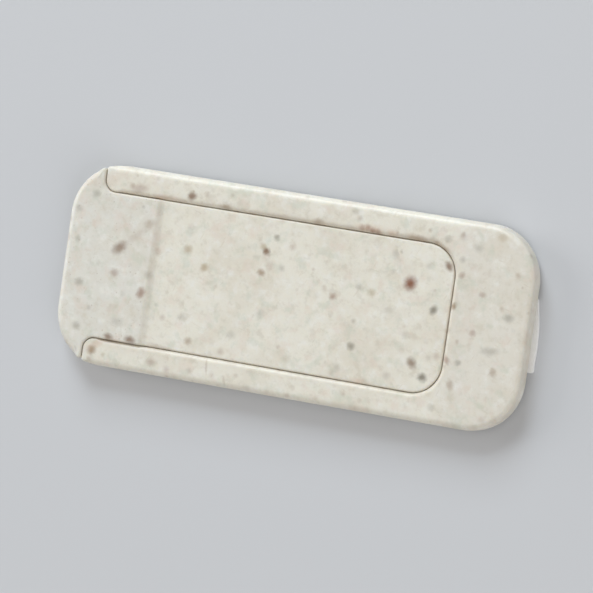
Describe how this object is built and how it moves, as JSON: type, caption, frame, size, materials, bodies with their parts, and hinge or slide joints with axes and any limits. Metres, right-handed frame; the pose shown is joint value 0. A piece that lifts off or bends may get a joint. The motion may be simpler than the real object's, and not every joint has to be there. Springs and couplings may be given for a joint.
{
  "type": "webcam cover slider",
  "caption": "Thin stick-on webcam cover of straw-speckled cream plastic: a U-shaped frame with undercut rails and a T-shaped slide that uncovers a camera window.",
  "frame": {"origin": "on the back of the adhesive tape, under the middle of the frame's outline", "axes": "+X along the rails towards the solid end block, +Y across the rails, +Z out of the front face"},
  "size_m": [0.0424, 0.017, 0.0021],
  "materials": {
    "straw_plastic": "satin",
    "foam_tape": "matte"
  },
  "bodies": {
    "frame": {"track_frame": "straw_plastic", "long_tape_pad": "foam_tape", "short_tape_pad": "foam_tape"},
    "slide": {"slide_cover": "straw_plastic"}
  },
  "joints": [
    {"name": "cover_slide", "type": "slide", "parent": "frame", "child": "slide", "axis": [-1, 0, 0], "range_m": [0, 0.00925]}
  ]
}
